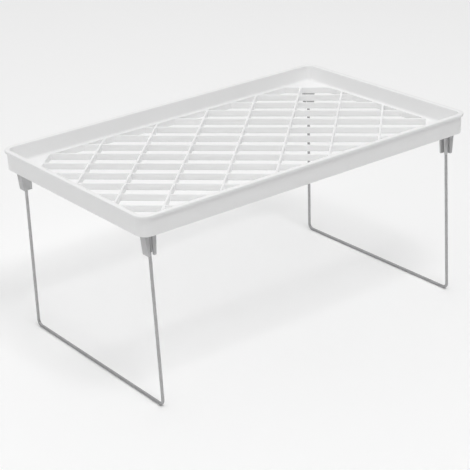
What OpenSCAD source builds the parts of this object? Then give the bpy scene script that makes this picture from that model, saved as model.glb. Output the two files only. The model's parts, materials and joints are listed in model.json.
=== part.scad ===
// Folding shelf riser: one moulded lattice tray, four leg brackets that plug
// in under its corners, and two bent wire leg frames that fold in underneath.
// Origin on the floor under the middle of the tray, X along the tray, Y across, Z up.

/* [Overall] */
// Length of the tray over its lip
tray_length = 420; // [380:5:520]
// Width of the tray over its lip
tray_width = 260; // [200:5:340]
// Height from the floor to the top of the lip
shelf_height = 206; // [120:1:215]

/* [Tray rim] */
// Radius of the lip's outer corners in plan
lip_radius = 14; // [12:1:30]
// Width of the flat top of the lip
lip_width = 5.5; // [4.5:0.5:7]
// Thickness of the lip
lip_thickness = 2.8; // [1.6:0.1:3.6]
// How far the lip stands out past the skirt
lip_overhang = 2.2; // [1:0.1:3]
// Thickness of the outer skirt
skirt_thickness = 1.8; // [1.2:0.1:2.2]
// Depth of the skirt below the top of the lip
skirt_depth = 21.5; // [18:0.5:23]
// How far the inner wall slopes inwards on its way down to the deck
wall_run = 4.5; // [2:0.5:6]
// Thickness of the inner wall
wall_thickness = 1.8; // [1.2:0.1:3]

/* [Deck] */
// Depth of the deck below the top of the lip
deck_drop = 16; // [12:0.5:18]
// Width of the plain border round the lattice
border_width = 3.5; // [2:0.5:8]
// Height of the lattice ribs
rib_height = 7; // [5:0.5:9]
// Thickness of the close-set ribs
rib_thickness = 2; // [1.5:0.1:3]
// Spacing of the close-set ribs
rib_pitch = 28; // [14:1:40]
// Thickness of the wide-set cross ribs
cross_rib_thickness = 2; // [1.5:0.1:3]
// Spacing of the cross ribs
cross_rib_pitch = 49; // [20:1:70]
// Length of the chamfer side that each corner gusset takes from the lattice
gusset_size = 37.3; // [26:0.1:50]
// Thickness of the gusset plate
gusset_thickness = 2; // [1.5:0.1:3]

/* [Brackets] */
// Distance from the end of the lip to the middle of the leg channel
bracket_inset_x = 17.2; // [17:0.1:24]
// Distance from the side of the lip to the open edge of the leg channel
bracket_inset_y = 11.5; // [11:0.5:18]
// Depth of a bracket across the tray, from its web to its open edge
bracket_depth = 9.2; // [9:0.1:14]
// Height of a bracket below the deck
bracket_height = 22.3; // [16:0.1:30]
// Thickness of the channel's two cheeks at the bottom
cheek_thickness = 3; // [2:0.1:4]
// How far the outer cheek flares out towards the top
outer_flare = 2.2; // [0:0.1:2.5]
// How far the inner cheek flares out towards the top
inner_flare = 1.2; // [0:0.1:3]
// Width of the leg channel
channel_width = 3.6; // [3.5:0.1:5]
// Thickness of the web that holds the leg's pivot pin
web_thickness = 2.2; // [1.5:0.1:3]
// Depth from a bracket's open edge to the middle of the leg
leg_set_back = 4.8; // [4:0.1:5]
// Depth of the plug that holds a bracket in its socket
plug_depth = 4.6; // [3:0.1:4.8]
// Width of the shoulder between the plug and the bracket's sides
plug_shoulder = 1.2; // [0.8:0.1:2]
// Radius of the snap ridge on the plug
snap_radius = 0.6; // [0.3:0.1:1]
// Wall of the socket round the plug
socket_wall = 1.8; // [1.2:0.1:2.5]

/* [Leg frames] */
// Diameter of the leg wire
wire_diameter = 3.2; // [2.6:0.1:3.3]
// How far each leg leans outwards between its pivot and its foot
leg_spread = 4.5; // [0:0.5:8]
// Bend radius at the foot corners, to the middle of the wire
foot_bend = 6; // [4:0.5:20]
// Bend radius at the pivot, to the middle of the wire
pivot_bend = 2.6; // [2.4:0.1:2.8]
// Length of pivot pin that shows behind the web
pin_end = 2.5; // [1:0.5:6]
// Gap between the bottom of the ribs and a folded leg
fold_gap = 2.4; // [1:0.1:5]
// How much the wire swells in radius where it is bent
bend_swell = 0.01; // [0.01:0.01:0.05]

/* [Fits] */
// Radial clearance of the pivot pin in its hole
pin_clearance = 0.08; // [0.03:0.01:0.1]
// Clearance on each side of the plug in its socket
plug_clearance = 0.15; // [0.1:0.05:0.3]
// Clearance round a leg as it swings through the bracket
swing_clearance = 0.3; // [0.2:0.1:0.9]

/* [Hidden] */
$fn = 64;
overcut = 1;
run_overlap = 0.1;
wire_radius = wire_diameter / 2;
half_length = tray_length / 2;
half_width = tray_width / 2;

// heights above the floor
deck_top = shelf_height - deck_drop;
deck_underside = deck_top - rib_height;
gusset_underside = deck_top - gusset_thickness;
pivot_z = deck_underside - fold_gap - wire_radius;
bracket_bottom = deck_underside - bracket_height;
foot_z = wire_radius + bend_swell;

// distances in from the edge of the lip
wall_foot = lip_width + wall_run;
deck_edge = wall_foot - wall_thickness;
lattice_edge = wall_foot + border_width;

// places of the left or right channel, and of the parts of a front or back bracket
channel_x = half_length - bracket_inset_x;
open_edge_y = half_width - bracket_inset_y;
web_back_y = open_edge_y - bracket_depth;
web_face_y = web_back_y + web_thickness;
leg_top_y = open_edge_y - leg_set_back;
foot_y = leg_top_y + leg_spread;
bracket_mid_y = (open_edge_y + web_back_y) / 2;

// sizes of the plug and of its socket
outer_half = channel_width / 2 + cheek_thickness;
plug_length = 2 * (outer_half - plug_shoulder);
plug_width = bracket_depth - 2 * plug_shoulder;
snap_z = deck_underside + plug_depth / 2;
snap_length = plug_width / 2;

// the leg's line, and the slot that it swings through
leg_fall = pivot_z - foot_z;
leg_slope = leg_spread / leg_fall;
slot_far_y = leg_top_y + leg_slope * (pivot_z - bracket_bottom) + wire_radius + swing_clearance;

// ---- tray ----

// section through the rim: x runs in from the lip's edge, y down from its top
module rim_section() {
    translate([0, -lip_thickness])
        square([lip_width, lip_thickness]);
    translate([lip_overhang, -skirt_depth])
        square([skirt_thickness, skirt_depth]);
    polygon([
        [lip_width - wall_thickness, 0],
        [lip_width, 0],
        [wall_foot, -deck_drop],
        [deck_edge, -deck_drop],
    ]);
}

// one straight side of the rim, its outer edge on the line y = 0
module rim_side(length) {
    rotate([90, 0, 90])
        linear_extrude(length, center = true)
            rim_section();
}

module rim_corner() {
    rotate_extrude(angle = 90)
        translate([lip_radius, 0])
            mirror([1, 0])
                rim_section();
}

module rim() {
    straight_x = tray_length - 2 * lip_radius;
    straight_y = tray_width - 2 * lip_radius;
    translate([0, 0, shelf_height]) {
        for (turn = [0, 180])
            rotate([0, 0, turn]) {
                translate([0, -half_width, 0])
                    rim_side(straight_x);
                translate([half_length, 0, 0])
                    rotate([0, 0, 90])
                        rim_side(straight_y);
                translate([half_length - lip_radius, half_width - lip_radius, 0])
                    rim_corner();
                translate([half_length - lip_radius, lip_radius - half_width, 0])
                    rotate([0, 0, -90])
                        rim_corner();
            }
    }
}

// plan outline at a given distance in from the edge of the lip
module outline(inset) {
    corner = max(lip_radius - inset, 0.5);
    x = half_length - inset - corner;
    y = half_width - inset - corner;
    for (side_x = [-1, 1], side_y = [-1, 1])
        translate([side_x * x, side_y * y])
            circle(corner);
    square([2 * (x + corner), 2 * y], center = true);
    square([2 * x, 2 * (y + corner)], center = true);
}

// the area of the lattice, with its corners cut off
module lattice_area(cut) {
    x = half_length - lattice_edge;
    y = half_width - lattice_edge;
    polygon([
        [x, cut - y], [x, y - cut], [x - cut, y], [cut - x, y],
        [-x, y - cut], [-x, cut - y], [cut - x, -y], [x - cut, -y],
    ]);
}

// a family of parallel ribs through the middle of the deck
module rib_family(direction, pitch, thickness) {
    reach = norm([half_length, half_width]);
    count = floor(reach / pitch);
    rotate([0, 0, direction])
        for (i = [-count : count])
            translate([0, i * pitch])
                square([2 * reach, thickness], center = true);
}

module deck() {
    translate([0, 0, gusset_underside])
        linear_extrude(gusset_thickness)
            difference() {
                outline(deck_edge);
                lattice_area(gusset_size);
            }
    translate([0, 0, deck_underside])
        linear_extrude(rib_height) {
            difference() {
                outline(deck_edge);
                lattice_area(0);
            }
            difference() {
                lattice_area(gusset_size - rib_thickness * sqrt(2));
                lattice_area(gusset_size);
            }
            intersection() {
                lattice_area(gusset_size);
                union() {
                    rib_family(-45, rib_pitch, rib_thickness);
                    rib_family(45, cross_rib_pitch, cross_rib_thickness);
                }
            }
        }
}

// a block centred on the plug of the back right bracket, grown by a margin on each side
module plug_block(margin, height) {
    translate([channel_x, bracket_mid_y, deck_underside + height / 2])
        cube([plug_length + 2 * margin, plug_width + 2 * margin, height], center = true);
}

// the two snap ridges along the sides of the plug
module snap_ridges(radius, length) {
    for (side = [-1, 1])
        translate([channel_x + side * plug_length / 2, bracket_mid_y, snap_z])
            rotate([90, 0, 0])
                cylinder(r = radius, h = length, center = true);
}

// draws its child in all four corners
module in_each_corner() {
    for (side_x = [0, 1], side_y = [0, 1])
        mirror([side_x, 0, 0])
            mirror([0, side_y, 0])
                children();
}

module tray() {
    color("white")
        difference() {
            union() {
                rim();
                deck();
                in_each_corner()
                    plug_block(plug_clearance + socket_wall, rib_height - gusset_thickness);
            }
            in_each_corner() {
                translate([0, 0, -overcut])
                    plug_block(plug_clearance, rib_height - gusset_thickness + overcut);
                snap_ridges(snap_radius + plug_clearance, snap_length + 2 * plug_clearance);
            }
        }
}

// ---- brackets ----

// the back right bracket; the others are its mirror images
module bracket_body() {
    inner_x = channel_x - outer_half;
    outer_x = channel_x + outer_half;
    translate([0, open_edge_y, 0])
        rotate([90, 0, 0])
            linear_extrude(bracket_depth)
                polygon([
                    [inner_x, bracket_bottom],
                    [outer_x, bracket_bottom],
                    [outer_x + outer_flare, deck_underside],
                    [inner_x - inner_flare, deck_underside],
                ]);
    plug_block(0, plug_depth);
    snap_ridges(snap_radius, snap_length);
}

// the channel that the leg stands in, open downwards and to the side
module leg_channel() {
    roof = pivot_z + wire_radius + swing_clearance;
    translate([channel_x - channel_width / 2, web_face_y, bracket_bottom - overcut])
        cube([channel_width, bracket_depth, roof - bracket_bottom + overcut]);
}

// the slot through the inner cheek that the leg swings through
module swing_slot() {
    roof = pivot_z + wire_radius + swing_clearance;
    reach = outer_half + inner_flare + overcut;
    translate([channel_x - reach, web_face_y, bracket_bottom - overcut])
        cube([reach, slot_far_y - web_face_y, roof - bracket_bottom + overcut]);
}

module pivot_hole() {
    translate([channel_x, web_face_y + overcut, pivot_z])
        rotate([90, 0, 0])
            cylinder(r = wire_radius + pin_clearance, h = web_thickness + 2 * overcut);
}

module bracket(side_x, side_y) {
    color("gainsboro")
        mirror([side_x < 0 ? 1 : 0, 0, 0])
            mirror([0, side_y < 0 ? 1 : 0, 0])
                difference() {
                    bracket_body();
                    leg_channel();
                    swing_slot();
                    pivot_hole();
                }
}

module bracket_front_left() {
    bracket(-1, -1);
}

module bracket_front_right() {
    bracket(1, -1);
}

module bracket_back_left() {
    bracket(-1, 1);
}

module bracket_back_right() {
    bracket(1, 1);
}

// ---- leg frames ----

// a straight length of wire between two points of the XY plane, a little into each bend
module wire_run(from, to) {
    run = to - from;
    translate([from[0], from[1], 0])
        rotate([0, 90, atan2(run[1], run[0])])
            translate([0, 0, -run_overlap])
                cylinder(d = wire_diameter, h = norm(run) + 2 * run_overlap);
}

// a bend of wire in the XY plane, anticlockwise from one direction to another
module wire_bend(centre, radius, from_angle, to_angle) {
    translate([centre[0], centre[1], 0])
        rotate([0, 0, from_angle])
            rotate_extrude(angle = to_angle - from_angle)
                translate([radius, 0])
                    circle(wire_radius + bend_swell);
}

// a leg frame in the XY plane: x runs across the tray and y is the height
module flat_frame() {
    lean = atan(leg_slope);
    down = [sin(lean), -cos(lean)];
    pivot_corner = [leg_top_y, pivot_z];
    foot_corner = [foot_y, foot_z];
    // how far from its corner each bend starts
    pivot_tangent = pivot_bend / tan((90 + lean) / 2);
    foot_tangent = foot_bend / tan((90 - lean) / 2);
    pin_tip = [web_back_y - pin_end, pivot_z];
    pin_root = pivot_corner - [pivot_tangent, 0];
    bar_end = foot_corner - [foot_tangent, 0];
    for (side_y = [0, 1])
        mirror([side_y, 0, 0]) {
            wire_run(pin_tip, pin_root);
            wire_bend(pin_root - [0, pivot_bend], pivot_bend, lean, 90);
            wire_run(pivot_corner + pivot_tangent * down, foot_corner - foot_tangent * down);
            wire_bend(bar_end + [0, foot_bend], foot_bend, -90, lean);
        }
    wire_run([-bar_end[0], foot_z], bar_end);
}

module leg_frame(side_x) {
    color("silver")
        translate([side_x * channel_x, 0, 0])
            rotate([90, 0, 90])
                flat_frame();
}

module left_leg_frame() {
    leg_frame(-1);
}

module right_leg_frame() {
    leg_frame(1);
}

tray();
bracket_front_left();
bracket_front_right();
bracket_back_left();
bracket_back_right();
left_leg_frame();
right_leg_frame();
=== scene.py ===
"""Folding shelf riser: its moulded tray, leg brackets and wire leg frames, on a pale stage.

Laid out as an add-on and run as a script. Sizes are in metres. What a user may
change stands in the property groups; the rest follows from them and from the
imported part, which gives the overall sizes and the places.
"""

import json
import math

import bmesh
import bpy
from bpy.props import FloatProperty, FloatVectorProperty, IntProperty, PointerProperty
from mathutils import Matrix, Vector


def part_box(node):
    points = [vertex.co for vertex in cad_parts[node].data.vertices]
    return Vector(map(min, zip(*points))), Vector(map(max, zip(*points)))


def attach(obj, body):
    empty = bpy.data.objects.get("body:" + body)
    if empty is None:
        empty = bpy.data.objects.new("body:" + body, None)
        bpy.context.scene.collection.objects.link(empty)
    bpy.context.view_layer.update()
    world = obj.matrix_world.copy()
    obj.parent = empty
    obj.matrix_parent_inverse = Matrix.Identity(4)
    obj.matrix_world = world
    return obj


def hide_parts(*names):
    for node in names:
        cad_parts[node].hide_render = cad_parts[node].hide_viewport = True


bl_info = {
    "name": "Folding shelf riser",
    "version": (1, 0, 0),
    "blender": (4, 5, 0),
    "location": "View3D > Sidebar > Shelf riser",
    "description": "Models a moulded lattice tray on folding wire legs, and its stage",
    "category": "Object",
}

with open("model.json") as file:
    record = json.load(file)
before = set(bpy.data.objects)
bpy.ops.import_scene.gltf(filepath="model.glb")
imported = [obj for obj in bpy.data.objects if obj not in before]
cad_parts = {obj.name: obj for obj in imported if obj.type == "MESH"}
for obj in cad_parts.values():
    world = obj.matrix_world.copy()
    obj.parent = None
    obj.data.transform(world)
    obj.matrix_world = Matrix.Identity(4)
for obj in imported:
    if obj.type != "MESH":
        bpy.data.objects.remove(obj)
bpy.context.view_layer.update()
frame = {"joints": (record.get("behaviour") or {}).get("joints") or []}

MM = 0.001
# Points closer than this are one point, and planes closer than NEAR are one level.
TINY = 0.001 * MM
NEAR = 0.02 * MM
# Edges that turn by more than this are rounded, and the rest are shaded smooth.
SHARP = math.radians(40)
# Spare length where a cutter reaches past a piece, or the rim stops short of the lattice.
MARGIN = 1 * MM
QUARTER = math.pi / 2

_, tray_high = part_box("tray")
bracket_low, bracket_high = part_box("bracket_back_right")
leg_low, leg_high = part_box("right_leg_frame")
joints = {joint["name"]: joint for joint in frame["joints"]}
pivot = Vector(joints["right_leg_fold"]["pos_m"])


# ---- sizes and colours ----


def size(name, description, millimetres):
    """A length that the user may change, given in millimetres and kept in metres."""
    return FloatProperty(
        name=name,
        description=description,
        default=millimetres * MM,
        min=0.0,
        precision=5,
        subtype="DISTANCE",
        unit="LENGTH",
    )


def colour(name, description, grey):
    """A colour that the user may change."""
    return FloatVectorProperty(
        name=name, description=description, default=grey, min=0.0, max=1.0, size=3, subtype="COLOR"
    )


def share(name, description, value):
    """A number from 0 to 1 that the user may change."""
    return FloatProperty(
        name=name, description=description, default=value, min=0.0, max=1.0, subtype="FACTOR"
    )


def facets(name, description, count):
    """A number of facets that the user may change."""
    return IntProperty(name=name, description=description, default=count, min=3, max=64)


def angle(name, description, degrees):
    """An angle that the user may change, given in degrees and kept in radians."""
    return FloatProperty(
        name=name,
        description=description,
        default=math.radians(degrees),
        subtype="ANGLE",
        unit="ROTATION",
    )


class TraySizes(bpy.types.PropertyGroup):
    """Sizes of the tray's rim and lattice deck."""

    corner_radius: size("Corner radius", "Radius of the lip's outer corners in plan", 14)
    lip_width: size("Lip width", "Width of the flat top of the lip", 5.5)
    lip_thickness: size("Lip thickness", "Thickness of the lip", 2.8)
    lip_overhang: size("Lip overhang", "How far the lip stands out past the skirt", 2.2)
    skirt_thickness: size("Skirt thickness", "Thickness of the outer skirt", 1.8)
    skirt_depth: size("Skirt depth", "Depth of the skirt below the top of the lip", 21.5)
    wall_run: size("Wall run", "How far the inner wall slopes inwards on its way down", 4.5)
    wall_thickness: size("Wall thickness", "Thickness of the inner wall", 1.8)
    deck_drop: size("Deck drop", "Depth of the deck below the top of the lip", 16)
    border_width: size("Border width", "Width of the plain border round the lattice", 3.5)
    rib_height: size("Rib height", "Height of the lattice ribs", 7)
    rib_thickness: size("Rib thickness", "Thickness of the ribs", 2)
    rib_pitch: size("Rib pitch", "Spacing of the close-set ribs", 28)
    cross_rib_pitch: size("Cross rib pitch", "Spacing of the wide-set cross ribs", 49)
    gusset_size: size("Gusset size", "Side of the corner that each gusset takes", 37.3)
    gusset_thickness: size("Gusset thickness", "Thickness of the corner gussets", 2)
    lip_round: size("Lip rounding", "Rounding of the lip's edges", 0.9)
    foot_round: size("Wall foot rounding", "Rounding where the wall meets the deck", 2.3)
    edge_round: size("Edge rounding", "Rounding of the ribs' edges", 0.3)
    corner_steps: facets("Corner steps", "Facets round each corner", 12)


class BracketSizes(bpy.types.PropertyGroup):
    """Sizes of the leg brackets."""

    cheek_thickness: size("Cheek thickness", "Thickness of the cheeks at the bottom", 3)
    outer_flare: size("Outer flare", "How far the outer cheek flares out at the top", 2.2)
    inner_flare: size("Inner flare", "How far the inner cheek flares out at the top", 1.2)
    web_thickness: size("Web thickness", "Thickness of the web that holds the pivot pin", 2.2)
    plug_depth: size("Plug depth", "Depth of the plug in the tray's socket", 4.6)
    plug_shoulder: size("Plug shoulder", "Shoulder between the plug and the sides", 1.2)
    plug_clearance: size("Plug clearance", "Clearance round the plug in its socket", 0.15)
    socket_wall: size("Socket wall", "Wall of the socket round the plug", 1.8)
    pin_clearance: size("Pin clearance", "Clearance round the pivot pin", 0.08)
    swing_clearance: size("Swing clearance", "Clearance round a swinging leg", 0.3)
    edge_round: size("Edge rounding", "Rounding of the bracket's edges", 0.35)


class LegSizes(bpy.types.PropertyGroup):
    """Sizes of the wire leg frames."""

    wire_diameter: size("Wire diameter", "Diameter of the leg wire", 3.2)
    leg_spread: size("Leg spread", "How far each leg leans outwards", 4.5)
    foot_bend: size("Foot bend", "Bend radius at the foot corners, to the wire's middle", 6)
    pivot_bend: size("Pivot bend", "Bend radius at the pivot, to the wire's middle", 2.6)
    pin_end: size("Pin end", "How far the pivot pin reaches past the web", 2.5)
    end_chamfer: size("End chamfer", "Chamfer on the cut ends of the wire", 0.4)
    sides: facets("Sides", "Facets round the wire", 28)
    foot_steps: facets("Foot steps", "Facets along the bend at the foot", 14)
    pivot_steps: facets("Pivot steps", "Facets along the bend at the pivot", 10)


class Finishes(bpy.types.PropertyGroup):
    """Colours and gloss of the three materials."""

    tray_colour: colour("Tray colour", "Colour of the tray's plastic", (0.91, 0.91, 0.91))
    tray_roughness: share("Tray roughness", "Roughness of the tray's plastic", 0.38)
    # The brackets' colour is darker than their own light grey plastic; the extra darkness is
    # painted shade from under the tray.
    bracket_colour_with_painted_shade: colour("Bracket colour", "Colour of the brackets' plastic", (0.57, 0.57, 0.575))
    bracket_roughness: share("Bracket roughness", "Roughness of the brackets' plastic", 0.5)
    wire_colour: colour("Wire colour", "Colour of the plated wire", (0.5, 0.5, 0.505))
    wire_roughness: share("Wire roughness", "Roughness of the plated wire", 0.36)


class StageSettings(bpy.types.PropertyGroup):
    """The floor, the lights and the camera."""

    floor_size: FloatProperty(
        name="Floor size", description="Side of the square floor", default=8.0, unit="LENGTH"
    )
    floor_colour: colour("Floor colour", "Colour of the floor", (0.985, 0.985, 0.985))
    surround_strength: FloatProperty(
        name="Surround strength", description="Brightness of the light all round", default=0.08
    )
    backdrop_brightness: FloatProperty(
        name="Backdrop brightness", description="Brightness of the backdrop itself", default=0.85
    )
    ceiling_power: FloatProperty(
        name="Ceiling power", description="Power of the ceiling light", default=180.0, unit="POWER"
    )
    key_power: FloatProperty(
        name="Key power", description="Power of the light at the front", default=40.0, unit="POWER"
    )
    side_power: FloatProperty(
        name="Side power", description="Power of the light on the left", default=6.0, unit="POWER"
    )
    camera_place: FloatVectorProperty(
        name="Camera place",
        description="Where the camera stands",
        default=(-0.8568, -1.1462, 0.7053),
        size=3,
        subtype="TRANSLATION",
        unit="LENGTH",
    )
    camera_heading: angle("Camera heading", "Turn of the camera about the vertical", -36.48)
    camera_tilt: angle("Camera tilt", "How far the camera looks down", 23.37)
    camera_roll: angle("Camera roll", "Turn of the camera about its line of sight", -2.80)
    focal_length: FloatProperty(
        name="Focal length", description="Focal length in millimetres", default=110.74
    )


# ---- modelling by hand ----


def start_clean():
    """Leaves edit mode and deselects every object."""
    if bpy.context.object and bpy.context.object.mode != "OBJECT":
        bpy.ops.object.mode_set(mode="OBJECT")
    bpy.ops.object.select_all(action="DESELECT")


def name_new(name):
    """Names the primitive that was just added, and its mesh."""
    piece = bpy.context.object
    piece.name = name
    piece.data.name = name
    return piece


def pick(piece, kind, test):
    """In edit mode, selects the vertices, edges or faces that pass a test, and nothing else."""
    bpy.ops.mesh.select_mode(type=kind)
    bpy.ops.mesh.select_all(action="DESELECT")
    shape = bmesh.from_edit_mesh(piece.data)
    parts = {"VERT": shape.verts, "EDGE": shape.edges, "FACE": shape.faces}[kind]
    for part in parts:
        if test(part):
            part.select_set(True)
    bmesh.update_edit_mesh(piece.data)


def middle(part):
    """The middle of an edge or a face."""
    total = Vector()
    for corner in part.verts:
        total += corner.co
    return total / len(part.verts)


def move(offset):
    """Moves what is selected."""
    bpy.ops.transform.translate(value=offset)


def lies_flat(face, height):
    """Whether a face lies level at a height."""
    return abs(middle(face).z - height) < NEAR and abs(face.normal.z) > 0.99


def draw_out(offset):
    """Extrudes the selected edges in a straight line."""
    bpy.ops.mesh.extrude_edges_move(TRANSFORM_OT_translate={"value": offset})


def spin_round(centre, axis, turn, steps):
    """Extrudes the selected edges round a bend, anticlockwise about the axis.

    The spin operator itself counts angles clockwise.
    """
    bpy.ops.mesh.spin(steps=steps, angle=-turn, center=centre, axis=axis)


def close_up():
    """Merges the doubles and turns every face outwards."""
    bpy.ops.mesh.select_all(action="SELECT")
    bpy.ops.mesh.remove_doubles(threshold=TINY)
    bpy.ops.mesh.normals_make_consistent(inside=False)


def cut(piece, test, place, direction):
    """Cuts the faces that pass a test along a plane."""
    pick(piece, "FACE", test)
    bpy.ops.mesh.bisect(plane_co=place, plane_no=direction, threshold=TINY)


def round_edges(piece, width, segments):
    """Bevels the piece's sharp edges, and shades the rest smooth."""
    bpy.ops.object.mode_set(mode="OBJECT")
    bevel = piece.modifiers.new("Rounded edges", "BEVEL")
    bevel.width = width
    bevel.segments = segments
    bevel.limit_method = "ANGLE"
    bevel.angle_limit = SHARP
    bevel.use_clamp_overlap = False
    bpy.ops.object.modifier_apply(modifier=bevel.name)
    bpy.ops.object.shade_smooth_by_angle(angle=SHARP)


def settle():
    """Puts the active piece's place into its mesh, with its object at the origin."""
    bpy.ops.object.transform_apply(location=True, rotation=True, scale=True)


# ---- tray ----


def rim_outline(sizes):
    """The corners of the rim's section: distance in from the lip's edge, height, and rounding.

    The first and last corners end on the deck, short of the lattice.
    """
    wall_foot = sizes.lip_width + sizes.wall_run
    wall_back = wall_foot - sizes.wall_thickness
    deck_line = wall_foot + sizes.border_width - MARGIN
    skirt_back = sizes.lip_overhang + sizes.skirt_thickness
    deck = -sizes.deck_drop
    underside = deck - sizes.rib_height
    skirt_round = 0.4 * sizes.skirt_thickness
    inside_round = 0.6 * MM
    under_lip_round = 0.3 * MM
    return [
        (deck_line, deck, 0),
        (wall_foot, deck, sizes.foot_round),
        (sizes.lip_width, 0, sizes.lip_round),
        (0, 0, sizes.lip_round),
        (0, -sizes.lip_thickness, 0.5 * sizes.lip_round),
        (sizes.lip_overhang, -sizes.lip_thickness, under_lip_round),
        (sizes.lip_overhang, -sizes.skirt_depth, skirt_round),
        (skirt_back, -sizes.skirt_depth, skirt_round),
        (skirt_back, -sizes.lip_thickness, 0),
        (wall_back, deck, inside_round),
        (wall_back, underside, inside_round),
        (deck_line, underside, 0),
    ]


def sweep_rim(piece, sizes, half_length, half_width, top):
    """Draws the rim's section and takes it round the tray, leaving the deck open."""
    outline = rim_outline(sizes)
    places = [Vector((0, inset - half_width, top + height)) for inset, height, _ in outline]
    bpy.ops.mesh.select_all(action="SELECT")
    bpy.ops.mesh.merge(type="CENTER")
    for start, end in zip(places, places[1:]):
        bpy.ops.mesh.extrude_vertices_move(TRANSFORM_OT_translate={"value": end - start})
    for place, (_, _, rounding) in zip(places, outline):
        if rounding:
            pick(piece, "VERT", lambda corner: (corner.co - place).length < NEAR)
            bpy.ops.mesh.bevel(affect="VERTICES", offset=rounding, segments=4)
    straight_x = half_length - sizes.corner_radius
    straight_y = half_width - sizes.corner_radius
    corners = [(straight_x, -straight_y), (straight_x, straight_y),
               (-straight_x, straight_y), (-straight_x, -straight_y)]
    runs = [(straight_x, 0), (0, 2 * straight_y), (-2 * straight_x, 0), (0, -2 * straight_y)]
    bpy.ops.mesh.select_mode(type="EDGE")
    bpy.ops.mesh.select_all(action="SELECT")
    for run, corner in zip(runs, corners):
        draw_out((*run, 0))
        spin_round((*corner, 0), (0, 0, 1), QUARTER, sizes.corner_steps)
    draw_out((straight_x, 0, 0))
    close_up()


def lattice_lines(pitch, reach, thickness):
    """Where the edges of a family of ribs lie, across the ribs."""
    count = int((reach - thickness) / pitch)
    return [i * pitch + side * thickness / 2 for i in range(-count, count + 1) for side in (-1, 1)]


def off_ribs(distance, pitch, thickness):
    """Whether a distance across a family of ribs falls between two of them."""
    return abs(distance - round(distance / pitch) * pitch) > thickness / 2


def across_close_ribs(place):
    """How far a place lies from the middle, across the close-set ribs."""
    return (place.x + place.y) / math.sqrt(2)


def across_cross_ribs(place):
    """How far a place lies from the middle, across the cross ribs."""
    return (place.y - place.x) / math.sqrt(2)


def fill_deck(piece, sizes, half_length, half_width, deck_top, deck_underside):
    """Fills the deck's top and underside, cuts the lattice through them and walls its cells."""
    edge_x = half_length - sizes.lip_width - sizes.wall_run - sizes.border_width
    edge_y = half_width - sizes.lip_width - sizes.wall_run - sizes.border_width
    chamfer = (edge_x + edge_y - sizes.gusset_size) / math.sqrt(2)
    toward_close = Vector((1, 1, 0)).normalized()
    toward_cross = Vector((-1, 1, 0)).normalized()

    def flat(face):
        """A face of the deck's top or underside."""
        return lies_flat(face, deck_top) or lies_flat(face, deck_underside)

    def in_border(face):
        place = middle(face)
        return flat(face) and abs(place.x) < edge_x and abs(place.y) < edge_y

    def in_lattice(face):
        place = middle(face)
        reach = max(abs(across_close_ribs(place)), abs(across_cross_ribs(place)))
        return in_border(face) and reach < chamfer

    def in_cell(face):
        place = middle(face)
        return (
            in_lattice(face)
            and off_ribs(across_close_ribs(place), sizes.rib_pitch, sizes.rib_thickness)
            and off_ribs(across_cross_ribs(place), sizes.cross_rib_pitch, sizes.rib_thickness)
        )

    for level in (deck_top, deck_underside):  # fills the open deck
        pick(piece, "EDGE", lambda edge: edge.is_boundary and abs(middle(edge).z - level) < NEAR)
        bpy.ops.mesh.edge_face_add()
    for side in (-1, 1):  # marks the lattice's border
        cut(piece, flat, (side * edge_x, 0, 0), (1, 0, 0))
        cut(piece, flat, (0, side * edge_y, 0), (0, 1, 0))
    for direction in (toward_close, toward_cross):  # marks the ribs along the gussets
        for side in (-1, 1):
            for line in (chamfer, chamfer + sizes.rib_thickness):
                cut(piece, in_border, side * line * direction, direction)
    families = [(toward_close, sizes.rib_pitch), (toward_cross, sizes.cross_rib_pitch)]
    for direction, pitch in families:
        for line in lattice_lines(pitch, chamfer, sizes.rib_thickness):
            cut(piece, in_lattice, line * direction, direction)
    pick(piece, "FACE", in_cell)
    bpy.ops.mesh.delete(type="FACE")
    pick(piece, "EDGE", lambda edge: edge.is_boundary and abs(middle(edge).z - deck_top) < NEAR)
    draw_out((0, 0, deck_underside - deck_top))
    close_up()
    return edge_x, edge_y, chamfer


def hollow_gussets(piece, sizes, brackets, edges, deck_underside):
    """Hollows the underside of the four gussets, and leaves a socket standing in each."""
    edge_x, edge_y, chamfer = edges
    plug_x, plug_y, half_x, half_y = plug_place(brackets)
    inner = brackets.plug_clearance
    outer = inner + brackets.socket_wall

    def corner_place(face):
        place = middle(face)
        return abs(place.x), abs(place.y)

    def under_corner(face):
        x, y = corner_place(face)
        in_corner = x < edge_x and y < edge_y and (x + y) / math.sqrt(2) > chamfer
        return in_corner and lies_flat(face, deck_underside)

    def hollow(face):
        x, y = corner_place(face)
        past_rib = (x + y) / math.sqrt(2) > chamfer + sizes.rib_thickness
        in_plug = abs(x - plug_x) < half_x + inner and abs(y - plug_y) < half_y + inner
        in_socket = abs(x - plug_x) < half_x + outer and abs(y - plug_y) < half_y + outer
        return under_corner(face) and past_rib and (in_plug or not in_socket)

    for side in (-1, 1):
        for line in (plug_x - half_x - inner, plug_x - half_x - outer):
            cut(piece, under_corner, (side * line, 0, 0), (1, 0, 0))
        for line in (plug_y - half_y - inner, plug_y - half_y - outer):
            cut(piece, under_corner, (0, side * line, 0), (0, 1, 0))
    pick(piece, "FACE", hollow)
    rise = (0, 0, sizes.rib_height - sizes.gusset_thickness)
    bpy.ops.mesh.extrude_region_move(TRANSFORM_OT_translate={"value": rise})
    close_up()


def model_tray(sizes, brackets):
    """The tray: a swept rim, a lattice deck and hollow gussets."""
    half_length = tray_high.x
    half_width = tray_high.y
    top = tray_high.z
    deck_top = top - sizes.deck_drop
    deck_underside = deck_top - sizes.rib_height
    first = rim_outline(sizes)[0]
    start_clean()
    bpy.ops.mesh.primitive_plane_add(
        size=sizes.lip_width, location=(0, first[0] - half_width, top + first[1])
    )
    piece = name_new("moulded_tray")
    settle()
    bpy.ops.object.mode_set(mode="EDIT")
    sweep_rim(piece, sizes, half_length, half_width, top)
    edges = fill_deck(piece, sizes, half_length, half_width, deck_top, deck_underside)
    hollow_gussets(piece, sizes, brackets, edges, deck_underside)
    round_edges(piece, sizes.edge_round, segments=2)
    return piece


# ---- brackets ----


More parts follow.
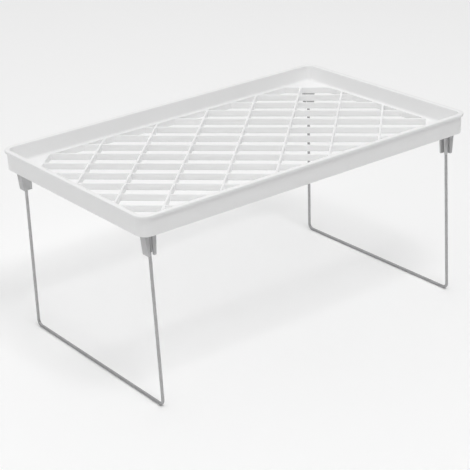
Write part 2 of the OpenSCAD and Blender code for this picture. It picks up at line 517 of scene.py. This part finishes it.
def add_block(low, high):
    """A block between two corners."""
    bpy.ops.mesh.primitive_cube_add(size=1, location=(low + high) / 2, scale=high - low)
    return bpy.context.object


def bracket_half_length(sizes):
    """Half a bracket's length at the bottom, where its cheeks don't flare."""
    return (bracket_high.x - bracket_low.x - sizes.outer_flare - sizes.inner_flare) / 2


def plug_place(sizes):
    """The middle of a bracket's plug in plan, and half its length and width."""
    web_back = bracket_low.y
    open_edge = bracket_high.y
    half_x = bracket_half_length(sizes) - sizes.plug_shoulder
    half_y = (open_edge - web_back) / 2 - sizes.plug_shoulder
    return pivot.x, (open_edge + web_back) / 2, half_x, half_y


def bracket_block(piece, sizes):
    """Flares the block's two cheeks towards the top and draws the plug out of its top."""
    underside = bracket_high.z - sizes.plug_depth
    plug_x, plug_y, half_x, half_y = plug_place(sizes)

    def on_top(face):
        return abs(middle(face).z - underside) < NEAR

    def on_plug(face):
        place = middle(face)
        return on_top(face) and abs(place.x - plug_x) < half_x and abs(place.y - plug_y) < half_y

    pick(piece, "VERT", lambda corner: corner.co.z > underside - NEAR and corner.co.x > plug_x)
    move((sizes.outer_flare, 0, 0))
    pick(piece, "VERT", lambda corner: corner.co.z > underside - NEAR and corner.co.x < plug_x)
    move((-sizes.inner_flare, 0, 0))
    for side in (-1, 1):
        cut(piece, on_top, (plug_x + side * half_x, 0, 0), (1, 0, 0))
        cut(piece, on_top, (0, plug_y + side * half_y, 0), (0, 1, 0))
    pick(piece, "FACE", on_plug)
    bpy.ops.mesh.extrude_region_move(TRANSFORM_OT_translate={"value": (0, 0, sizes.plug_depth)})
    bpy.ops.mesh.select_all(action="SELECT")
    bpy.ops.mesh.normals_make_consistent(inside=False)


def bracket_cutters(sizes, legs):
    """Blocks and a drill for the leg channel, the swing slot and the pivot hole."""
    radius = legs.wire_diameter / 2
    channel_half = bracket_half_length(sizes) - sizes.cheek_thickness
    web_face = bracket_low.y + sizes.web_thickness
    roof = pivot.z + radius + sizes.swing_clearance
    leg_top = leg_high.y - radius - legs.leg_spread
    slope = legs.leg_spread / pivot.z
    slot_far = leg_top + slope * (pivot.z - bracket_low.z) + radius + sizes.swing_clearance
    channel = add_block(
        Vector((pivot.x - channel_half, web_face, bracket_low.z - MARGIN)),
        Vector((pivot.x + channel_half, bracket_high.y + MARGIN, roof)),
    )
    slot = add_block(
        Vector((bracket_low.x - MARGIN, web_face, bracket_low.z - MARGIN)),
        Vector((pivot.x, slot_far, roof)),
    )
    bpy.ops.mesh.primitive_cylinder_add(
        vertices=legs.sides,
        radius=radius + sizes.pin_clearance,
        depth=2 * sizes.web_thickness,
        location=(pivot.x, bracket_low.y + sizes.web_thickness / 2, pivot.z),
        rotation=(QUARTER, 0, 0),
    )
    drill = bpy.context.object
    return [channel, slot, drill]


def cut_away(piece, cutters):
    """Takes each cutter out of the piece and throws the cutter away."""
    for cutter in cutters:
        start_clean()
        piece.select_set(True)
        bpy.context.view_layer.objects.active = piece
        boolean = piece.modifiers.new("Cut", "BOOLEAN")
        boolean.operation = "DIFFERENCE"
        boolean.solver = "EXACT"
        boolean.object = cutter
        bpy.ops.object.modifier_apply(modifier=boolean.name)
        bpy.data.objects.remove(cutter)


def model_bracket(sizes, legs):
    """The back right bracket."""
    underside = bracket_high.z - sizes.plug_depth
    inner = bracket_low.x + sizes.inner_flare
    outer = bracket_high.x - sizes.outer_flare
    start_clean()
    add_block(
        Vector((inner, bracket_low.y, bracket_low.z)),
        Vector((outer, bracket_high.y, underside)),
    )
    piece = name_new("leg_bracket")
    settle()
    bpy.ops.object.mode_set(mode="EDIT")
    bracket_block(piece, sizes)
    bpy.ops.object.mode_set(mode="OBJECT")
    cut_away(piece, bracket_cutters(sizes, legs))
    bpy.ops.object.mode_set(mode="EDIT")
    close_up()
    round_edges(piece, sizes.edge_round, segments=3)
    return piece


def mirrored_copy(piece, name, side_x, side_y):
    """A copy with its own mesh, mirrored into another corner."""
    start_clean()
    piece.select_set(True)
    bpy.context.view_layer.objects.active = piece
    bpy.ops.object.duplicate(linked=False)
    copy = name_new(name)
    copy.scale = (side_x, side_y, 1)
    settle()
    bpy.ops.object.mode_set(mode="EDIT")
    close_up()
    bpy.ops.object.mode_set(mode="OBJECT")
    return copy


# ---- leg frames ----


def model_leg_frame(sizes, name, x):
    """Half a frame, drawn from the middle of the foot bar up to the pin, then mirrored."""
    radius = sizes.wire_diameter / 2
    foot_z = radius + leg_low.z
    foot_y = leg_high.y - radius
    leg_top = foot_y - sizes.leg_spread
    lean = math.atan(sizes.leg_spread / (pivot.z - foot_z))
    foot_tangent = sizes.foot_bend * math.tan((QUARTER + lean) / 2)
    pivot_tangent = sizes.pivot_bend * math.tan((QUARTER - lean) / 2)
    up = Vector((0, -math.sin(lean), math.cos(lean)))
    bar_end = Vector((x, foot_y - foot_tangent, foot_z))
    leg_start = Vector((x, foot_y, foot_z)) + foot_tangent * up
    leg_end = Vector((x, leg_top, pivot.z)) - pivot_tangent * up
    pin_root = Vector((x, leg_top - pivot_tangent, pivot.z))
    pin_tip = bracket_low.y - sizes.pin_end
    start_clean()
    bpy.ops.mesh.primitive_circle_add(
        vertices=sizes.sides,
        radius=radius,
        location=(x, 0, foot_z),
        rotation=(QUARTER, 0, 0),
    )
    piece = name_new(name)
    settle()
    bpy.ops.object.mode_set(mode="EDIT")
    bpy.ops.mesh.select_mode(type="EDGE")
    bpy.ops.mesh.select_all(action="SELECT")
    draw_out((0, bar_end.y, 0))
    foot_centre = bar_end + Vector((0, 0, sizes.foot_bend))
    spin_round(foot_centre, (1, 0, 0), QUARTER + lean, sizes.foot_steps)
    draw_out(leg_end - leg_start)
    pivot_centre = pin_root - Vector((0, 0, sizes.pivot_bend))
    spin_round(pivot_centre, (1, 0, 0), QUARTER - lean, sizes.pivot_steps)
    draw_out((0, pin_tip - pin_root.y, 0))
    bpy.ops.mesh.edge_face_add()
    bpy.ops.mesh.bevel(offset=sizes.end_chamfer, segments=2)
    bpy.ops.object.mode_set(mode="OBJECT")
    mirror = piece.modifiers.new("Other half", "MIRROR")
    mirror.use_axis = (False, True, False)
    mirror.merge_threshold = TINY
    bpy.ops.object.modifier_apply(modifier=mirror.name)
    bpy.ops.object.mode_set(mode="EDIT")
    close_up()
    bpy.ops.object.mode_set(mode="OBJECT")
    bpy.ops.object.shade_smooth_by_angle(angle=SHARP)
    return piece


# ---- materials ----


def new_group(name, inputs, outputs):
    """An empty shader group with named sockets: (name, kind, value)."""
    group = bpy.data.node_groups.new(name, "ShaderNodeTree")
    for label, kind, value in inputs:
        socket = group.interface.new_socket(name=label, in_out="INPUT", socket_type=kind)
        socket.default_value = value
    for label, kind in outputs:
        group.interface.new_socket(name=label, in_out="OUTPUT", socket_type=kind)
    return group, group.nodes.new("NodeGroupInput"), group.nodes.new("NodeGroupOutput")


def noise(tree, detail, roughness):
    """A noise pattern on object coordinates."""
    place = tree.nodes.new("ShaderNodeTexCoord")
    pattern = tree.nodes.new("ShaderNodeTexNoise")
    pattern.inputs["Detail"].default_value = detail
    pattern.inputs["Roughness"].default_value = roughness
    tree.links.new(place.outputs["Object"], pattern.inputs["Vector"])
    return pattern


def grain_group():
    """A fine grain that lifts the surface a little."""
    inputs = [("Scale", "NodeSocketFloat", 900.0), ("Depth", "NodeSocketFloat", 0.02 * MM)]
    group, given, result = new_group("Surface grain", inputs, [("Normal", "NodeSocketVector")])
    pattern = noise(group, 3.0, 0.6)
    bump = group.nodes.new("ShaderNodeBump")
    links = group.links
    links.new(given.outputs["Scale"], pattern.inputs["Scale"])
    links.new(pattern.outputs["Fac"], bump.inputs["Height"])
    links.new(given.outputs["Depth"], bump.inputs["Distance"])
    links.new(bump.outputs["Normal"], result.inputs["Normal"])
    return group


def tone_group():
    """A slow drift of a colour between itself and a darker tone."""
    inputs = [
        ("Colour", "NodeSocketColor", (0.8, 0.8, 0.8, 1)),
        ("Darker", "NodeSocketColor", (0.7, 0.7, 0.7, 1)),
        ("Scale", "NodeSocketFloat", 12.0),
        ("Amount", "NodeSocketFloat", 0.5),
    ]
    group, given, result = new_group("Tone drift", inputs, [("Colour", "NodeSocketColor")])
    pattern = noise(group, 4.0, 0.55)
    amount = group.nodes.new("ShaderNodeMath")
    amount.operation = "MULTIPLY"
    mix = group.nodes.new("ShaderNodeMix")
    mix.data_type = "RGBA"
    links = group.links
    links.new(given.outputs["Scale"], pattern.inputs["Scale"])
    links.new(pattern.outputs["Fac"], amount.inputs[0])
    links.new(given.outputs["Amount"], amount.inputs[1])
    links.new(amount.outputs[0], mix.inputs["Factor"])
    links.new(given.outputs["Colour"], mix.inputs["A"])
    links.new(given.outputs["Darker"], mix.inputs["B"])
    links.new(mix.outputs["Result"], result.inputs["Colour"])
    return group


def handling_group():
    """Roughness that varies with handling, between two values."""
    inputs = [
        ("Smooth", "NodeSocketFloat", 0.3),
        ("Rubbed", "NodeSocketFloat", 0.5),
        ("Scale", "NodeSocketFloat", 40.0),
    ]
    group, given, result = new_group("Handling", inputs, [("Roughness", "NodeSocketFloat")])
    pattern = noise(group, 6.0, 0.65)
    spread = group.nodes.new("ShaderNodeMapRange")
    spread.inputs["From Min"].default_value = 0.35
    spread.inputs["From Max"].default_value = 0.7
    links = group.links
    links.new(given.outputs["Scale"], pattern.inputs["Scale"])
    links.new(pattern.outputs["Fac"], spread.inputs["Value"])
    links.new(given.outputs["Smooth"], spread.inputs["To Min"])
    links.new(given.outputs["Rubbed"], spread.inputs["To Max"])
    links.new(spread.outputs["Result"], result.inputs["Roughness"])
    return group


def shared_group(name, build):
    """The group of that name, built the first time that it is asked for."""
    return bpy.data.node_groups.get(name) or build()


def place_group(tree, group, **values):
    """Places a shared group in a material, with its own values."""
    node = tree.nodes.new("ShaderNodeGroup")
    node.node_tree = group
    for label, value in values.items():
        node.inputs[label].default_value = value
    return node


def finish_material(name, colour_value, darker, tone, roughness, grain, metal=0.0):
    """A material made of the shared groups: tone drift, handling and grain.

    Darker is the darker tone's share of the colour. Tone is (scale, amount), roughness is
    (smooth, rubbed, scale), and grain is (scale, depth).
    """
    material = bpy.data.materials.new(name)
    material.use_nodes = True
    tree = material.node_tree
    shader = tree.nodes["Principled BSDF"]
    shader.inputs["Metallic"].default_value = metal
    drift = place_group(
        tree,
        shared_group("Tone drift", tone_group),
        Colour=(*colour_value, 1),
        Darker=(*(darker * channel for channel in colour_value), 1),
        Scale=tone[0],
        Amount=tone[1],
    )
    handling = place_group(
        tree,
        shared_group("Handling", handling_group),
        Smooth=roughness[0],
        Rubbed=roughness[1],
        Scale=roughness[2],
    )
    skin = place_group(
        tree, shared_group("Surface grain", grain_group), Scale=grain[0], Depth=grain[1]
    )
    tree.links.new(drift.outputs["Colour"], shader.inputs["Base Color"])
    tree.links.new(handling.outputs["Roughness"], shader.inputs["Roughness"])
    tree.links.new(skin.outputs["Normal"], shader.inputs["Normal"])
    return material


def tray_plastic(finishes):
    """White semi-gloss plastic with a very slight drift of tone."""
    rough = finishes.tray_roughness
    return finish_material(
        "White moulded plastic",
        finishes.tray_colour,
        darker=0.96,
        tone=(9.0, 1.0),
        roughness=(rough - 0.04, rough + 0.08, 30.0),
        grain=(600.0, 0.01 * MM),
    )


def bracket_plastic(finishes):
    """Satin plastic in a grey darker than the brackets' own light grey: the extra darkness is
    painted shade from under the tray.
    """
    rough = finishes.bracket_roughness
    return finish_material(
        "Bracket plastic with painted shade",
        finishes.bracket_colour_with_painted_shade,
        darker=0.9,
        tone=(120.0, 1.0),
        roughness=(rough - 0.06, rough + 0.08, 160.0),
        grain=(1800.0, 0.02 * MM),
    )


def plated_wire(finishes):
    """Plated steel wire, slightly streaked."""
    rough = finishes.wire_roughness
    return finish_material(
        "Bright plated wire",
        finishes.wire_colour,
        darker=0.7,
        tone=(260.0, 1.0),
        roughness=(rough - 0.08, rough + 0.12, 300.0),
        grain=(2500.0, 0.004 * MM),
        metal=1.0,
    )


def dress(piece, material):
    """Gives the piece one material."""
    piece.data.materials.clear()
    piece.data.materials.append(material)


# ---- stage ----


def make_floor(stage):
    """The pale floor."""
    start_clean()
    bpy.ops.mesh.primitive_plane_add(size=stage.floor_size)
    floor = name_new("floor")
    material = bpy.data.materials.new("Pale floor")
    material.use_nodes = True
    shader = material.node_tree.nodes["Principled BSDF"]
    shader.inputs["Base Color"].default_value = (*stage.floor_colour, 1)
    shader.inputs["Roughness"].default_value = 0.9
    shader.inputs["Specular IOR Level"].default_value = 0.1
    dress(floor, material)


def make_softbox(name, place, width, power):
    """A square area light that faces the middle of the shelf."""
    bpy.ops.object.light_add(type="AREA", location=place)
    light = bpy.context.object
    light.name = name
    light.data.shape = "SQUARE"
    light.data.size = width
    light.data.energy = power
    target = Vector((0, 0, tray_high.z))
    light.rotation_mode = "QUATERNION"
    light.rotation_quaternion = (Vector(place) - target).to_track_quat("Z", "Y")


def make_surround(stage):
    """A pale backdrop that lights the scene less brightly than it looks."""
    world = bpy.data.worlds.new("Soft surround")
    world.use_nodes = True
    tree = world.node_tree
    background = tree.nodes["Background"]
    background.inputs["Color"].default_value = (1, 1, 1, 1)
    seen = tree.nodes.new("ShaderNodeLightPath")
    strength = tree.nodes.new("ShaderNodeMapRange")
    strength.inputs["To Min"].default_value = stage.surround_strength
    strength.inputs["To Max"].default_value = stage.backdrop_brightness
    tree.links.new(seen.outputs["Is Camera Ray"], strength.inputs["Value"])
    tree.links.new(strength.outputs["Result"], background.inputs["Strength"])
    bpy.context.scene.world = world


def make_camera(stage):
    """The camera, with its depth of field off."""
    start_clean()
    bpy.ops.object.camera_add()
    camera = bpy.context.object
    camera.name = "camera"
    camera.data.lens = stage.focal_length
    camera.data.dof.use_dof = False
    turn = (
        Matrix.Rotation(stage.camera_heading, 4, "Z")
        @ Matrix.Rotation(QUARTER - stage.camera_tilt, 4, "X")
        @ Matrix.Rotation(stage.camera_roll, 4, "Z")
    )
    camera.matrix_world = Matrix.Translation(stage.camera_place) @ turn
    bpy.context.scene.camera = camera


# ---- operators ----


class RISER_OT_tray(bpy.types.Operator):
    """Models the moulded tray with its lip, skirt, sloping wall and lattice deck"""

    bl_idname = "riser.tray"
    bl_label = "Tray"
    bl_options = {"REGISTER", "UNDO"}

    def execute(self, context):
        scene = context.scene
        piece = model_tray(scene.riser_tray, scene.riser_brackets)
        dress(piece, tray_plastic(scene.riser_finishes))
        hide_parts("tray")
        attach(piece, "shelf")
        return {"FINISHED"}


class RISER_OT_brackets(bpy.types.Operator):
    """Models one leg bracket and mirrors it into the four corners"""

    bl_idname = "riser.brackets"
    bl_label = "Brackets"
    bl_options = {"REGISTER", "UNDO"}

    def execute(self, context):
        scene = context.scene
        pattern = model_bracket(scene.riser_brackets, scene.riser_legs)
        dress(pattern, bracket_plastic(scene.riser_finishes))
        corners = {"front_left": (-1, -1), "front_right": (1, -1),
                   "back_left": (-1, 1), "back_right": (1, 1)}
        for corner, (side_x, side_y) in corners.items():
            piece = mirrored_copy(pattern, "leg_bracket_" + corner, side_x, side_y)
            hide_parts("bracket_" + corner)
            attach(piece, "shelf")
        bpy.data.objects.remove(pattern)
        return {"FINISHED"}


class RISER_OT_leg_frames(bpy.types.Operator):
    """Models the two bent wire leg frames"""

    bl_idname = "riser.leg_frames"
    bl_label = "Leg frames"
    bl_options = {"REGISTER", "UNDO"}

    def execute(self, context):
        scene = context.scene
        material = plated_wire(scene.riser_finishes)
        for side, x in (("left", -pivot.x), ("right", pivot.x)):
            piece = model_leg_frame(scene.riser_legs, side + "_wire_legs", x)
            dress(piece, material)
            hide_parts(side + "_leg_frame")
            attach(piece, side + "_legs")
        return {"FINISHED"}


class RISER_OT_stage(bpy.types.Operator):
    """Sets up the floor, the soft lights and the camera"""

    bl_idname = "riser.stage"
    bl_label = "Stage"
    bl_options = {"REGISTER", "UNDO"}

    def execute(self, context):
        stage = context.scene.riser_stage
        make_floor(stage)
        make_softbox("ceiling light", (0, 0.8, 3), width=8.0, power=stage.ceiling_power)
        make_softbox("key light", (-0.2, -1.7, 3.2), width=1.2, power=stage.key_power)
        make_softbox("side light", (-2.2, -0.6, 1.0), width=1.6, power=stage.side_power)
        make_surround(stage)
        make_camera(stage)
        context.scene.view_settings.view_transform = "Standard"
        return {"FINISHED"}


class RISER_PT_panel(bpy.types.Panel):
    """Lists the pieces and their sizes"""

    bl_idname = "RISER_PT_panel"
    bl_label = "Shelf riser"
    bl_space_type = "VIEW_3D"
    bl_region_type = "UI"
    bl_category = "Shelf riser"

    def draw(self, context):
        for operator, group in STEPS:
            box = self.layout.box()
            box.operator(operator.bl_idname)
            settings = getattr(context.scene, group)
            for name in settings.__annotations__:
                box.prop(settings, name)
        box = self.layout.box()
        for name in Finishes.__annotations__:
            box.prop(context.scene.riser_finishes, name)


STEPS = [
    (RISER_OT_tray, "riser_tray"),
    (RISER_OT_brackets, "riser_brackets"),
    (RISER_OT_leg_frames, "riser_legs"),
    (RISER_OT_stage, "riser_stage"),
]
GROUPS = {
    "riser_tray": TraySizes,
    "riser_brackets": BracketSizes,
    "riser_legs": LegSizes,
    "riser_finishes": Finishes,
    "riser_stage": StageSettings,
}
CLASSES = [*GROUPS.values(), *(operator for operator, _ in STEPS), RISER_PT_panel]


def register():
    """Registers the classes and hangs their settings on the scene."""
    for each in CLASSES:
        bpy.utils.register_class(each)
    for name, group in GROUPS.items():
        setattr(bpy.types.Scene, name, PointerProperty(type=group))


def unregister():
    """Takes the settings off the scene and unregisters the classes."""
    for name in GROUPS:
        delattr(bpy.types.Scene, name)
    for each in reversed(CLASSES):
        bpy.utils.unregister_class(each)


def main():
    """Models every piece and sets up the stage."""
    register()
    bpy.ops.riser.tray()
    bpy.ops.riser.brackets()
    bpy.ops.riser.leg_frames()
    bpy.ops.riser.stage()


if __name__ == "__main__":
    main()
